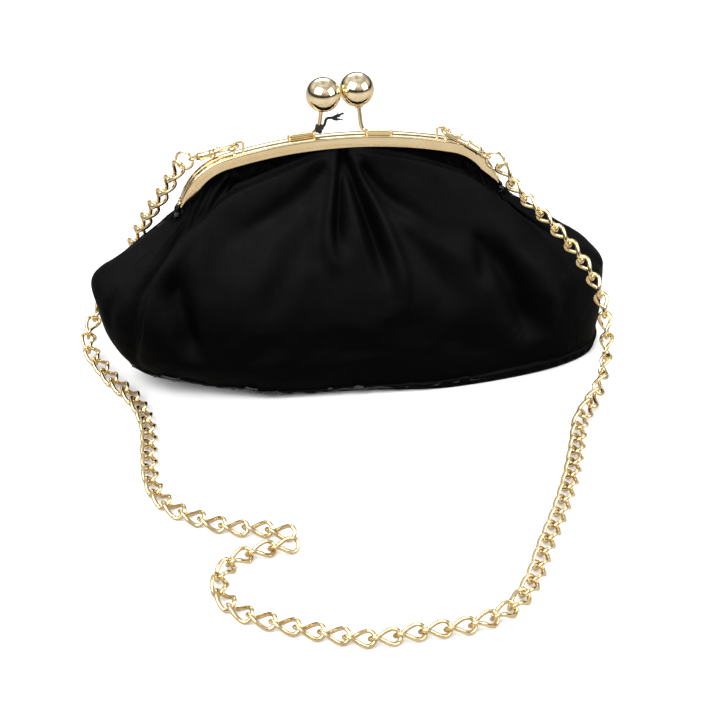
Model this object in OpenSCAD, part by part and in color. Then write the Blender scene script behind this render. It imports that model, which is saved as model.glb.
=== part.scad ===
// Kiss-lock clutch purse: hinged gold frame, soft gathered pouch, chain strap.
// +Z up, front faces -Y, origin on the floor under the middle of the frame.

/* [Frame] */
// Radius of the long top arc of the frame
arc_r = 300; // [260:5:340]
// Radius of the shoulder arcs
shoulder_r = 39.5; // [30:0.5:45]
// Half distance between the shoulder arc centres
shoulder_x = 62.5; // [50:0.5:75]
// Height of the shoulder arc centres
shoulder_z = 112.9; // [100:0.1:125]
// Height of the hinge pins
hinge_z = 121; // [110:0.5:130]
// Front to back depth of one half of the frame
half_d = 4.9; // [4:0.1:6]
// Height of the frame face
face_h = 7; // [5:0.25:9]
// Sheet thickness of the channel
sheet = 0.7; // [0.5:0.05:1]
// Gap between the two halves
half_gap = 0.2; // [0.1:0.05:0.5]

/* [Kiss lock] */
// Diameter of the lock balls
ball_d = 21.4; // [16:0.2:24]
// Sideways offset of each ball
ball_x = 10.8; // [9:0.1:13]
// Height of the ball centres
ball_z = 188; // [175:0.5:195]
// Diameter of the bent wire posts
post_d = 2.6; // [2:0.1:3.5]
// Length of the soldered bars
bar_l = 17; // [12:0.5:22]

/* [Pouch] */
// Cloth thickness
cloth = 1.3; // [0.8:0.1:2]
// Lining thickness
lining = 0.5; // [0.4:0.1:1]
// Belly reach to the left
belly_l = 158.5; // [140:0.5:170]
// Belly reach to the right
belly_r = 176; // [150:0.5:185]
// Belly reach to the front
belly_f = 57; // [45:0.5:70]
// Belly reach to the rear
belly_b = 52; // [45:0.5:70]
// Height of the widest part
belly_z = 54; // [40:1:70]
// Base reach to the left
base_l = 126; // [110:1:150]
// Base reach to the right
base_r = 170; // [110:1:175]
// Base half depth
base_d = 39; // [30:1:50]
// How far the left end of the base lifts off the floor
base_lift = 9; // [0:0.5:14]

/* [Strap] */
// Link wire diameter
link_w = 2; // [1.6:0.1:2.4]
// Radius of the link ends, wire centre
link_r = 4.2; // [3.5:0.1:5]
// Half length of the straight sides of a link
link_s = 4; // [3:0.1:6]
// Distance between neighbouring links
pitch = 13.5; // [12:0.1:14]
// Jump ring wire diameter
ring_w = 1.7; // [1.4:0.1:2]
// Jump ring radius, wire centre
ring_r = 5.6; // [5:0.1:7]
// Hook barrel diameter
barrel_d = 5.2; // [4.5:0.1:6]
// Hook barrel length
barrel_l = 21; // [16:0.5:24]

/* [Hidden] */

gold = [0.86, 0.74, 0.5];
pale = [0.88, 0.8, 0.6];
steel = [0.7, 0.7, 0.72];
black = [0.07, 0.07, 0.08];
satin = [0.16, 0.15, 0.16];
board = [0.45, 0.4, 0.33];

arc_z = shoulder_z - sqrt(pow(arc_r - shoulder_r, 2) - pow(shoulder_x, 2));
join_x = shoulder_x * arc_r / (arc_r - shoulder_r);
in_r = shoulder_r - face_h;
in_arc = arc_r - face_h;
tip_x = shoulder_x + sqrt(pow(shoulder_r, 2) - pow(hinge_z - shoulder_z, 2));
tab_t = 1.2;
tab_r = 4;
tab_gap = 0.1;
tab_in = tip_x - 2.3;
pin_r = 1.25;
run = 0.05;
joint_x = shoulder_x * in_arc / (arc_r - shoulder_r);

// ---- frame ------------------------------------------------------------
module dome(big, small) {
    intersection() {
        translate([0, arc_z])
            circle(r = big, $fn = 360);
        translate([-join_x, hinge_z])
            square([2 * join_x, 60]);
    }
    for (k = [-1, 1])
        translate([k * shoulder_x, shoulder_z])
            circle(r = small, $fn = 180);
}

module above_hinge() {
    intersection() {
        children();
        translate([-150, hinge_z])
            square([300, 60]);
    }
}

module band() {
    difference() {
        above_hinge()
            dome(arc_r, shoulder_r);
        dome(in_arc, in_r);
        for (k = [-1, 1])
            polygon([[k * 60, 100], [k * 60, 130],
                [k * (shoulder_x + in_r * cos(35)), shoulder_z + in_r * sin(35)],
                [k * tip_x, hinge_z], [k * tip_x, 100]]);
    }
}

module slab(y, d) {
    translate([0, y + d, 0])
        rotate([90, 0, 0])
            linear_extrude(height = d)
                children();
}

module half_frame(own_tab, other_tab) {
    difference() {
        slab(-half_gap / 2 - half_d, half_d)
            band();
        slab(-half_gap / 2 - half_d + sheet, half_d - 2 * sheet)
            dome(arc_r - sheet, shoulder_r - sheet);
        for (k = [-1, 1])
            tab_disc(k, other_tab - 0.1, tab_t + 0.2, tab_r + 0.3);
        for (k = [-1, 1])
            tab_disc(k, own_tab, tab_t, pin_r + 1.2);
    }
    for (k = [-1, 1])
        difference() {
            tab_disc(k, own_tab, tab_t, tab_r);
            tab_disc(k, own_tab - 1, tab_t + 2, pin_r + run);
        }
}

module tab_disc(k, x, t, r) {
    translate([k * x, 0, hinge_z])
        rotate([0, k * 90, 0])
            cylinder(r = r, h = t, $fn = 72);
}

module front_frame() {
    color(gold)
        half_frame(tab_in + tab_t + tab_gap, tab_in);
}

module rear_frame() {
    color(gold)
        mirror([0, 1, 0])
            half_frame(tab_in, tab_in + tab_t + tab_gap);
}

module cord(side) {
    cr = 0.6;
    y = side * (half_gap / 2 + 1.4);
    color(board)
        difference() {
            slab(y - cr, 2 * cr)
                dome(arc_r - 1.6, shoulder_r - 1.6);
            slab(y - cr - 1, 2 * cr + 2)
                dome(arc_r - 3.1, shoulder_r - 3.1);
            translate([-150, -20, 0])
                cube([300, 40, 134]);
        }
}

module front_cord() {
    cord(-1);
}

module rear_cord() {
    cord(1);
}

module rivet(k) {
    shank = 2 * tab_t + tab_gap + 0.2;
    color(pale) {
        tab_disc(k, tab_in - 0.1, shank, pin_r);
        tab_disc(k, tab_in - 0.9, 0.85, 2.2);
        tab_disc(k, tab_in - 0.15 + shank, 0.85, 2.2);
    }
}

module left_rivet() {
    rivet(-1);
}

module right_rivet() {
    rivet(1);
}

// ---- kiss lock ----------------------------------------------------------
bar_w = 2.8;
bar_h = 3;
bar_in = 15.5;
bar_y = half_gap / 2 + half_d / 2 - 0.4;
bar_mid = bar_in + bar_l / 2;
bar_z = arc_z + sqrt(pow(arc_r, 2) - pow(bar_mid, 2));
foot = [bar_in + 0.9, bar_y, bar_z + bar_h / 2 + 0.5];
elbow = [bar_in - 2.6, bar_y, bar_z + bar_h / 2 + 3.2];

module rod(a, b, d) {
    v = b - a;
    l = norm(v);
    translate(a)
        rotate([0, acos(v[2] / l), atan2(v[1], v[0])])
            cylinder(d = d, h = l, $fn = 48);
}

// drawn for the right side, lock half standing on the -Y frame
module lock_bar() {
    difference() {
        translate([bar_mid, -bar_y, bar_z])
            rotate([0, asin(bar_mid / arc_r), 0])
                translate([-bar_l / 2, -bar_w / 2, -0.8])
                    cube([bar_l, bar_w, bar_h + 0.8]);
        slab(-20, 40)
            translate([0, arc_z])
                circle(r = arc_r + 0.03, $fn = 360);
        mirror([0, 1, 0])
            rod(foot, elbow, post_d + 0.1);
    }
}

module lock_post() {
    top = [ball_x, half_d / 2, ball_z - ball_d / 2 + 4];
    mid = [elbow[0], -elbow[1], elbow[2]];
    difference() {
        union() {
            rod([foot[0], -foot[1], foot[2]], mid, post_d);
            translate(mid)
                sphere(d = post_d * 1.04, $fn = 48);
            rod(mid, top, post_d);
        }
        slab(-20, 40)
            translate([0, arc_z])
                circle(r = arc_r + 0.05, $fn = 360);
    }
}

module lock_ball() {
    top = [ball_x, half_d / 2, ball_z - ball_d / 2 + 4];
    mid = [elbow[0], -elbow[1], elbow[2]];
    difference() {
        translate([ball_x, half_d / 2, ball_z])
            sphere(d = ball_d, $fn = 120);
        rod(mid, top + 0.02 * (top - mid), post_d + 0.1);
    }
}

module opposite() {
    rotate([0, 0, 180])
        children();
}

module front_bar() {
    color(pale)
        lock_bar();
}

module front_post() {
    color(pale)
        lock_post();
}

module front_ball() {
    color(pale)
        lock_ball();
}

module rear_bar() {
    color(pale)
        opposite()
            lock_bar();
}

module rear_post() {
    color(pale)
        opposite()
            lock_post();
}

module rear_ball() {
    color(pale)
        opposite()
            lock_ball();
}

module tag_string() {
    at = [-elbow[0], elbow[1], elbow[2]];
    to = [-ball_x, -half_d / 2, ball_z - ball_d / 2 + 4];
    v = (to - at) / norm(to - at);
    color(black)
        translate(at + 5 * v)
            rotate([0, acos(v[2]), atan2(v[1], v[0])]) {
                rotate_extrude($fn = 72)
                    translate([post_d / 2 + 0.95, 0])
                        circle(r = 0.8, $fn = 36);
                translate([2.4, -2.2, 0])
                    sphere(r = 1.7, $fn = 36);
                rod([2.4, -2.2, 0], [7.4, -4, -1.6], 1.1);
                rod([2.4, -2.2, 0], [4, -5.4, 1], 1.1);
            }
}

// ---- strap staples --------------------------------------------------------
loop_in = 60.6;
loop_out = 66.2;
loop_d = 1.5;
loop_y = half_gap / 2 + half_d / 2;
loop_top = 161;

function frame_top(x) = x < join_x ? arc_z + sqrt(pow(arc_r, 2) - x * x)
    : shoulder_z + sqrt(pow(shoulder_r, 2) - pow(x - shoulder_x, 2));

module staple() {
    for (x = [loop_in, loop_out])
        difference() {
            translate([x, -loop_y, frame_top(x) - 1])
                cylinder(d = loop_d, h = loop_top - frame_top(x) + 1, $fn = 36);
            slab(-20, 40)
                translate([0, arc_z])
                    circle(r = arc_r + 0.03, $fn = 360);
        }
    for (x = [loop_in, loop_out])
        translate([x, -loop_y, loop_top])
            sphere(d = loop_d, $fn = 36);
    rod([loop_in, -loop_y, loop_top], [loop_out, -loop_y, loop_top], loop_d);
}

module left_loop() {
    color(pale)
        mirror([1, 0, 0])
            staple();
}

module right_loop() {
    color(pale)
        staple();
}

// ---- snap hook: along +X from the centre of the jaw ---------------------------
jaw_r = 3.1;
jaw_w = 1.9;
jaw_cut = 58;
bolt_d = 1.6;
bolt_y = 1.5;
nose_x = 3.4;
bolt_travel = 2.6;
end_x = nose_x + barrel_l;
neck_d = 1.4;
eye_r = 2.5;
eye_w = 1.5;
eye_x = end_x + 0.2 + 1 + eye_r + eye_w / 2 - 0.5;
ring_x = eye_x + eye_r - (ring_w + eye_w) / 2 - 0.15 + ring_r;
ring_slack = 0.8;
first_x = ring_r - (ring_w + link_w) / 2 - ring_slack + link_s + link_r;

module along_x(x, l, d) {
    translate([x, 0, 0])
        rotate([0, 90, 0])
            cylinder(d = d, h = l, $fn = 60);
}

module hook_body() {
    a = [jaw_r * cos(jaw_cut), -jaw_r * sin(jaw_cut), 0];
    difference() {
        union() {
            rotate([0, 0, jaw_cut])
                rotate_extrude(angle = 360 - 2 * jaw_cut, $fn = 90)
                    translate([jaw_r, 0])
                        circle(d = jaw_w, $fn = 48);
            rod(a, a + 3.2 * [sin(jaw_cut), cos(jaw_cut), 0], jaw_w + 0.1);
            along_x(nose_x, barrel_l, barrel_d);
            along_x(nose_x + 1.4, 0.9, barrel_d + 0.5);
            along_x(end_x - 2, 0.9, barrel_d + 0.5);
        }
        translate([0, bolt_y, 0])
            along_x(nose_x - 0.5, 12.5, bolt_d + 2 * run);
        translate([nose_x + 3.3, bolt_y - 0.75, 0])
            cube([7.4, 1.5, 5]);
        along_x(end_x - 3.4, 2.4, 3);
        along_x(end_x - 3.4, 4, neck_d + 2 * run);
    }
}

module hook_bolt() {
    translate([0, bolt_y, 0])
        along_x(2.5, 7.4, bolt_d);
    translate([nose_x + 4.1, bolt_y - 0.6, 0])
        cube([2, 1.2, 2.9]);
    translate([nose_x + 3.7, bolt_y - 1.1, 2.8])
        cube([2.8, 2.2, 0.8]);
}

module hook_spring() {
    translate([0, bolt_y, 0])
        difference() {
            along_x(12.7, 2.6, bolt_d);
            along_x(12, 4, 0.9);
        }
}

module hook_swivel() {
    along_x(end_x - 3.2, 2, 2.8);
    along_x(end_x - 1.5, 1.8, neck_d);
    along_x(end_x + 0.2, 1, 4.2);
    translate([eye_x, 0, 0])
        rotate_extrude($fn = 72)
            translate([eye_r, 0])
                circle(d = eye_w, $fn = 36);
}

module jump_ring() {
    translate([ring_x, 0, 0])
        rotate([90, 0, 0])
            rotate_extrude($fn = 90)
                translate([ring_r, 0])
                    circle(d = ring_w, $fn = 36);
}

jaw_at = [loop_out + 0.95, -loop_y, 157.6];
right_dir = [29.6, -14, -16.8];
left_dir = [-29.6, 15.8, -13.1];

// frame of a strap hook: local X along v, local Y level
module hook_place(at, v) {
    x = v / norm(v);
    y0 = cross([0, 0, 1], x);
    y = y0 / norm(y0);
    z = cross(x, y);
    multmatrix([[x[0], y[0], z[0], at[0]], [x[1], y[1], z[1], at[1]],
        [x[2], y[2], z[2], at[2]], [0, 0, 0, 1]])
        children();
}

module right_place() {
    hook_place(jaw_at, right_dir)
        children();
}

module left_place() {
    hook_place([-jaw_at[0], jaw_at[1], jaw_at[2]], left_dir)
        children();
}

module right_hook() {
    color(pale)
        right_place()
            hook_body();
}

module right_bolt() {
    color(pale)
        right_place()
            hook_bolt();
}

module right_spring() {
    color(steel)
        right_place()
            hook_spring();
}

module right_swivel() {
    color(pale)
        right_place()
            hook_swivel();
}

module right_ring() {
    color(pale)
        right_place()
            jump_ring();
}

module left_hook() {
    color(pale)
        left_place()
            hook_body();
}

module left_bolt() {
    color(pale)
        left_place()
            hook_bolt();
}

module left_spring() {
    color(steel)
        left_place()
            hook_spring();
}

module left_swivel() {
    color(pale)
        left_place()
            hook_swivel();
}

module left_ring() {
    color(pale)
        left_place()
            jump_ring();
}

// ---- chain ------------------------------------------------------------------
right_drop = unit([0.6, -0.3, -0.74]);
left_drop = unit([-0.5, 0.32, -0.8]);
right_start = jaw_at + ring_x * unit(right_dir) + first_x * right_drop;
left_start = [-jaw_at[0], jaw_at[1], jaw_at[2]] + ring_x * unit(left_dir) + first_x * left_drop;
lie = link_r * sin(45) + link_w / 2 + 0.5;

// guide points of the two runs, each starting at its jump ring
right_guide = [right_start - 14 * right_drop, right_start, [110.5, -21, 120.5],
    [130, -31, 101], [149, -38, 77], [159.5, -44, 56], [163, -50, 37], [161.5, -60, 22], [155, -74, 12],
    [144, -91, 7], [131, -110, lie + 0.8], [121, -136, lie], [107, -170, lie], [91, -203, lie],
    [74, -234, lie], [59, -263, lie],
    [42, -284, lie], [18, -295, lie], [-10, -296, lie], [-38, -297, lie], [-62, -287, lie],
    [-84, -275, lie], [-101, -262, lie], [-109, -244, lie], [-106, -226, lie], [-94, -213, lie],
    [-78, -208, lie], [-62, -207.5, lie]];
left_guide = [left_start - 14 * left_drop, left_start,
    [-110, 25, 117], [-119, 36, 98], [-127, 47, 77], [-134, 55, 57], [-141, 60, 41], [-149, 60, 28],
    [-157, 53, 17.5], [-162, 41, 12], [-161.5, 26, 8.5], [-156, 9, lie + 2], [-150, -8, lie + 0.8],
    [-138, -34, lie], [-133, -66, lie],
    [-135, -98, lie], [-136, -130, lie], [-129, -155, lie], [-113, -172, lie], [-95, -184, lie],
    [-79, -188.5, lie], [-66, -195, lie]];

function spline(p0, p1, p2, p3, t) = 0.5 * (2 * p1 + (p2 - p0) * t
    + (2 * p0 - 5 * p1 + 4 * p2 - p3) * t * t + (3 * p1 - p0 - 3 * p2 + p3) * t * t * t);
function clampi(i, n) = i < 0 ? 0 : i > n - 1 ? n - 1 : i;
steps = 24;
function path(g) = [for (i = [1:len(g) - 2]) for (j = [0:steps - 1])
    spline(g[i - 1], g[i], g[i + 1], g[clampi(i + 2, len(g))], j / steps)];
// points with equal straight distance between neighbours
function walk(p, i, from, out) = i >= len(p) ? out
    : norm(p[i] - from) < pitch ? walk(p, i + 1, from, out)
    : let (a = p[i - 1], b = p[i], f = solve(a, b, from, 0, 1, 14), q = a + f * (b - a))
        walk(p, i, q, concat(out, [q]));
function solve(a, b, c, lo, hi, n) = n == 0 ? (lo + hi) / 2
    : norm(a + (lo + hi) / 2 * (b - a) - c) < pitch ? solve(a, b, c, (lo + hi) / 2, hi, n - 1)
    : solve(a, b, c, lo, (lo + hi) / 2, n - 1);
right_pts = walk(path(right_guide), 1, right_start, [right_start]);
left_pts = walk(path(left_guide), 1, left_start, [left_start]);

function unit(v) = v / norm(v);
function heading(p, i, d0) = unit(p[clampi(i + 1, len(p))] - (i == 0 ? p[0] - pitch * d0 : p[i - 1]));
// level vector carried along the run, eased back to vertical on the floor
function carry(p, d0, i, up, out) = i >= len(p) ? out
    : let (t = heading(p, i, d0), w = p[i][2] < 7 ? 0.7 : p[i][2] < 26 ? 0.25 : 0,
        u0 = up + [0, 0, w], u = unit(u0 - (u0 * t) * t))
        carry(p, d0, i + 1, u, concat(out, [u]));
function place_up(v) = let (x = unit(v), y = unit(cross([0, 0, 1], x))) unit(cross(x, y) + y);
right_ups = carry(right_pts, right_drop, 0, place_up(right_drop), []);
left_ups = carry(left_pts, left_drop, 0, place_up(left_drop), []);

module link() {
    for (k = [-1, 1])
        translate([k * link_s, 0, 0])
            rotate([0, 0, k > 0 ? -90 : 90])
                rotate_extrude(angle = 180, $fn = 72)
                    translate([link_r, 0])
                        circle(d = link_w, $fn = 36);
    for (k = [-1, 1])
        translate([0, k * link_r, 0])
            along_x(-link_s, 2 * link_s, link_w);
}

module links(p, ups, d0, from, to) {
    for (i = [from:to]) {
        x = heading(p, i, d0);
        z = ups[i];
        y = cross(z, x);
        multmatrix([[x[0], y[0], z[0], p[i][0]], [x[1], y[1], z[1], p[i][1]],
            [x[2], y[2], z[2], p[i][2]], [0, 0, 0, 1]])
            rotate([i % 2 == 0 ? 45 : -45, 0, 0])
                link();
    }
}

r_n = len(right_pts);
l_n = len(left_pts);
r_a = 13;
r_b = 30;
l_a = 11;

module right_drop_links() {
    color(pale)
        links(right_pts, right_ups, right_drop, 0, r_a - 1);
}

module front_run_links() {
    color(pale)
        links(right_pts, right_ups, right_drop, r_a, r_b - 1);
}

module bend_run_links() {
    color(pale)
        links(right_pts, right_ups, right_drop, r_b, r_n - 1);
}

module left_drop_links() {
    color(pale)
        links(left_pts, left_ups, left_drop, 0, l_a - 1);
}

module left_run_links() {
    color(pale)
        links(left_pts, left_ups, left_drop, l_a, l_n - 1);
}

// ---- pouch: closed sheets lofted between the frame, the belly and the base -------
side_a = 22;
function sgn(v) = v < 0 ? -1 : 1;
function rim(a, wl, wr, df, db, n) = [
    (cos(a) < 0 ? wl : wr) * sgn(cos(a)) * pow(abs(cos(a)), 2 / n),
    (sin(a) < 0 ? df : db) * sgn(sin(a)) * pow(abs(sin(a)), 2 / n)];
function inner_z(x) = x < joint_x ? arc_z + sqrt(pow(in_arc, 2) - x * x)
    : x < shoulder_x + in_r * cos(35) ? shoulder_z + sqrt(pow(in_r, 2) - pow(x - shoulder_x, 2))
    : hinge_z + (tip_x - x) / (tip_x - shoulder_x - in_r * cos(35))
        * (shoulder_z + in_r * sin(35) - hinge_z);
function bez(a, b, c, d, t) = pow(1 - t, 3) * a + 3 * pow(1 - t, 2) * t * b + 3 * (1 - t) * t * t * c
    + t * t * t * d;

edge_x = 93;
hem = 3;
hem_y = half_gap / 2 + half_d - sheet - 0.15;
// g is true for the gusset columns, false for the panel columns
function top_pt(a, g) = g ? [sgn(cos(a)) * (edge_x + 13), 7 * sin(a) / sin(side_a), hinge_z - 3]
    : let (x = edge_x * cos(a) / cos(side_a)) [x, sgn(sin(a)) * hem_y, inner_z(abs(x))];
function ease(v) = let (c = max(0, min(1, v))) c * c * (3 - 2 * c);
function belly(a) = let (r = rim(a, belly_l, belly_r, belly_f, belly_b, 2.3))
    [r[0], r[1], belly_z + 6 * pow(cos(a), 2)];
function lift(x) = base_lift * ease((-x - 40) / 90);
function base_front(a) = base_d + 11 * ease((cos(a) + 0.1) / 0.4) - 6 * ease((-cos(a) - 0.1) / 0.4);
function base_rim(a, inset) =
    rim(a, base_l - inset, base_r - inset, base_front(a) - inset, base_d - inset, 2.5);
function foot_pt(a) = let (r = base_rim(a, 0)) [r[0], r[1], 0.1 + lift(r[0])];
// height of the upper and lower curve handles above and below the belly
function lead(a, g) = cos(a) < 0 ? (g ? 24 : 44 - 20 * ease((-cos(a) - 0.55) / 0.37))
    : (g ? 10 : 44 - 34 * ease((cos(a) - 0.55) / 0.37));
function tail(a) = 26 - 14 * ease((-cos(a) - 0.5) / 0.5) + 3 * ease((cos(a) - 0.5) / 0.5);

// outer surface: a round the bag, t from 0 at the frame to 2 at the base
function skin(a, t, g) = let (p = top_pt(a, g), m = belly(a), f = foot_pt(a),
        q = p + [(g ? 0.3 : 0) * (m[0] - p[0]), g ? 0.3 * (m[1] - p[1]) : sgn(sin(a)), -10])
    t < 0 ? p - [0, 0, t * hem]
    : t < 1 ? bez(p, q, m + [0, 0, lead(a, g)], m, t)
    : bez(m, m - [0, 0, tail(a)], f + [0.75 * (m[0] - f[0]), 0.75 * (m[1] - f[1]), 7], f, t - 1);
function normal(a, t, g) = let (e = 0.01, u = skin(a + 0.5, t, g) - skin(a - 0.5, t, g),
        v = skin(a, min(2, t + e), g) - skin(a, t < 0 ? t : max(0, t - e), g))
    t < 0 ? [0, sgn(sin(a)), 0] : unit(cross(v, u));
function sheet_pt(a, t, d, g) = skin(a, t, g) - d * normal(a, t, g);

// radius from the hinge line that splits the swinging part from the standing part
function swing_r(x) = 6.5 + 27.5 * sqrt(max(0, 1 - pow(x / 101, 2)));
function reach(q) = norm([q[1], q[2] - hinge_z]) - swing_r(abs(q[0]));
function split_t(a, off, t, g) = t > 0.98 ? 0.98
    : reach(skin(a, t, g)) > off && t > off / 60 + (g ? 0.02 : 0.25) ? t
    : split_t(a, off, t + 0.01, g);

// closed sheet from a0 to a1; d_out and d_in are depths below the outer surface
module sheet_part(a0, a1, na, ts, d_out, d_in, g) {
    nt = len(ts(a0)) - 1;
    outer = [for (i = [0:na]) let (a = a0 + (a1 - a0) * i / na, tt = ts(a))
        for (j = [0:nt]) sheet_pt(a, tt[j], d_out, g)];
    inner = [for (i = [0:na]) let (a = a0 + (a1 - a0) * i / na, tt = ts(a))
        for (j = [0:nt]) sheet_pt(a, tt[j], d_in, g)];
    w = nt + 1;
    m = len(outer);
    faces = concat(
        [for (i = [0:na - 1]) for (j = [0:nt - 1]) for (f = [[i * w + j, (i + 1) * w + j, i * w + j + 1],
            [(i + 1) * w + j, (i + 1) * w + j + 1, i * w + j + 1]]) f],
        [for (i = [0:na - 1]) for (j = [0:nt - 1]) let (q = m + i * w + j, r = q + w)
            for (f = [[q, q + 1, r], [r, q + 1, r + 1]]) f],
        [for (i = [0:na - 1]) let (q = i * w, r = q + w)
            for (f = [[q, m + q, m + r], [q, m + r, r]]) f],
        [for (i = [0:na - 1]) for (f = [[i * w + nt, m + (i + 1) * w + nt, m + i * w + nt],
            [i * w + nt, (i + 1) * w + nt, m + (i + 1) * w + nt]]) f],
        [for (j = [0:nt - 1]) for (f = [[j, j + 1, m + j + 1], [j, m + j + 1, m + j]]) f],
        [for (j = [0:nt - 1]) for (f = [[na * w + j, m + na * w + j + 1, na * w + j + 1],
            [na * w + j, m + na * w + j, m + na * w + j + 1]]) f]);
    polyhedron(points = concat(outer, inner), faces = faces, convexity = 6);
}

full = function(a) concat([-1], [for (j = [0:13]) 2 * j / 13]);
// standing part from 2 mm outside the split, its edge trimmed back by off
function below(off, g) = function(a) let (s = split_t(a, 2, 0, g))
    [for (j = [0:11]) s + (2 - s) * (j == 0 ? off / 60 : j) / 11];
// swinging part up to the split, its edge trimmed back by off
function above(off) = function(a) let (s = split_t(a, 0, 0, false))
    concat([-1], [for (j = [0:5]) s * (j == 5 ? 5 - off / 8 : j) / 5]);
gap_a = 0.4;
lining_out = cloth + 0.25;
lining_in = lining_out + lining;

module front_panel() {
    color(black)
        sheet_part(180 + side_a, 360 - side_a, 36, full, 0, cloth, false);
}

module rear_lower_panel() {
    color(black)
        sheet_part(side_a, 180 - side_a, 36, below(0, false), 0, cloth, false);
}

module rear_upper_panel() {
    color(black)
        sheet_part(side_a, 180 - side_a, 36, above(0), 0, cloth, false);
}

module left_gusset() {
    color(black)
        sheet_part(180 - side_a + gap_a, 180 + side_a - gap_a, 12, below(0, true), 0, cloth, true);
}

module right_gusset() {
    color(black)
        sheet_part(-side_a + gap_a, side_a - gap_a, 12, below(0, true), 0, cloth, true);
}

module front_lining() {
    color(satin)
        sheet_part(180 + side_a + gap_a, 360 - side_a - gap_a, 36, full,
            lining_out, lining_in, false);
}

module rear_lower_lining() {
    color(satin)
        sheet_part(side_a + gap_a, 180 - side_a - gap_a, 36, below(12, false),
            lining_out, lining_in, false);
}

module rear_upper_lining() {
    color(satin)
        sheet_part(side_a + gap_a, 180 - side_a - gap_a, 36, above(3),
            lining_out, lining_in, false);
}

module left_lining() {
    color(satin)
        sheet_part(180 - side_a + 3 * gap_a, 180 + side_a - 3 * gap_a, 12, below(12, true),
            lining_out, lining_in, true);
}

module right_lining() {
    color(satin)
        sheet_part(-side_a + 3 * gap_a, side_a - 3 * gap_a, 12, below(12, true),
            lining_out, lining_in, true);
}

// plate that follows the lift of the base
module floor_plate(z, h, inset) {
    n = 72;
    rows = 9;
    ring = [for (i = [0:n - 1]) base_rim(i * 360 / n + 2.5, inset)];
    low = [for (k = [1:rows]) for (q = ring) [q[0] * k / rows + 8 * (1 - k / rows), q[1] * k / rows]];
    top = len(low) + 1;
    points = concat([for (h0 = [0, h]) for (q = concat([[8, 0]], low)) [q[0], q[1], z + h0 + lift(q[0])]]);
    bottom_faces = concat(
        [for (i = [0:n - 1]) [0, 1 + i, 1 + (i + 1) % n]],
        [for (k = [0:rows - 2]) for (i = [0:n - 1]) let (a = 1 + k * n + i, b = 1 + k * n + (i + 1) % n)
            for (f = [[a, a + n, b], [b, a + n, b + n]]) f]);
    e = 1 + (rows - 1) * n;
    sides = [for (i = [0:n - 1]) let (a = e + i, b = e + (i + 1) % n)
        for (f = [[a, a + top, b], [b, a + top, b + top]]) f];
    polyhedron(points = points, faces = concat(bottom_faces, sides,
        [for (f = bottom_faces) [f[0] + top, f[2] + top, f[1] + top]]), convexity = 4);
}

module base_panel() {
    color(black)
        floor_plate(0, cloth, 3.5);
}

module base_board() {
    color(board)
        floor_plate(cloth + 0.1, 2.4, 5);
}

module base_lining() {
    color(satin)
        floor_plate(cloth + 2.6, lining, 5);
}

front_frame();
rear_frame();
front_cord();
rear_cord();
left_rivet();
right_rivet();
front_bar();
front_post();
front_ball();
rear_bar();
rear_post();
rear_ball();
tag_string();
left_loop();
right_loop();
front_panel();
rear_lower_panel();
rear_upper_panel();
left_gusset();
right_gusset();
base_panel();
base_board();
front_lining();
rear_lower_lining();
rear_upper_lining();
left_lining();
right_lining();
base_lining();
right_hook();
right_bolt();
right_spring();
right_swivel();
right_ring();
left_hook();
left_bolt();
left_spring();
left_swivel();
left_ring();
right_drop_links();
front_run_links();
bend_run_links();
left_drop_links();
left_run_links();
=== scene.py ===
import math

import bmesh
import bpy
import numpy as np
from mathutils import Matrix, Vector, noise


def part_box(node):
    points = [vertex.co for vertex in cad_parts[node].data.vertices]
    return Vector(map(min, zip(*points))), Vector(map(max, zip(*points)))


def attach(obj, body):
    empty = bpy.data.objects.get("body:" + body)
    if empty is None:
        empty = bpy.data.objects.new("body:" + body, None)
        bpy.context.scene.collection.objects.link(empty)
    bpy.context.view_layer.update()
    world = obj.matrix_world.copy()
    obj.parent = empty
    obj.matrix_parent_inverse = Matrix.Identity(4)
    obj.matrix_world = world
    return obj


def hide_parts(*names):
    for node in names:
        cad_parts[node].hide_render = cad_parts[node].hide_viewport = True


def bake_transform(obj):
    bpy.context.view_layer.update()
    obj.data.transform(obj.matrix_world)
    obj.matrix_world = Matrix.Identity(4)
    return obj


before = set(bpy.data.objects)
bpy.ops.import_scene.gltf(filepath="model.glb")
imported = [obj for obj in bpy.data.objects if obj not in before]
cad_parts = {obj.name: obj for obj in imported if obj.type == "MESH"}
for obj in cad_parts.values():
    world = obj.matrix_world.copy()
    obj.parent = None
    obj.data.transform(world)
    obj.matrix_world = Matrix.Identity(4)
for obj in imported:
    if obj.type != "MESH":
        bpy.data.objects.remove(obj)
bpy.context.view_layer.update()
MM = 0.001
SCENE = bpy.context.scene


# ---- mesh helpers, lengths in millimetres ---------------------------------------
def new_object(name, verts, faces, material):
    mesh = bpy.data.meshes.new(name)
    points = (np.asarray(verts, float) * MM).tolist()
    mesh.from_pydata(points, [], [tuple(int(i) for i in f) for f in faces])
    mesh.validate()
    mesh.update()
    obj = bpy.data.objects.new(name, mesh)
    SCENE.collection.objects.link(obj)
    mesh.materials.append(material)
    mesh.polygons.foreach_set("use_smooth", [True] * len(mesh.polygons))
    return obj


def face_outward(obj):
    bm = bmesh.new()
    bm.from_mesh(obj.data)
    bmesh.ops.recalc_face_normals(bm, faces=bm.faces)
    bm.to_mesh(obj.data)
    bm.free()


def solid_piece(name, geometry, material, slot, body, *nodes):
    """Closed piece that takes the place of CAD nodes and rides on one body."""
    obj = new_object(name, *geometry, material)
    face_outward(obj)
    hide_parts(*nodes)
    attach(obj, body)
    return obj


def thicken(obj, thickness, offset=-1):
    shell = obj.modifiers.new("Thickness", "SOLIDIFY")
    shell.thickness = thickness * MM
    shell.offset = offset


def subdivide(obj):
    mod = obj.modifiers.new("Subdivision", "SUBSURF")
    mod.levels = 1
    mod.render_levels = 1


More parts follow.
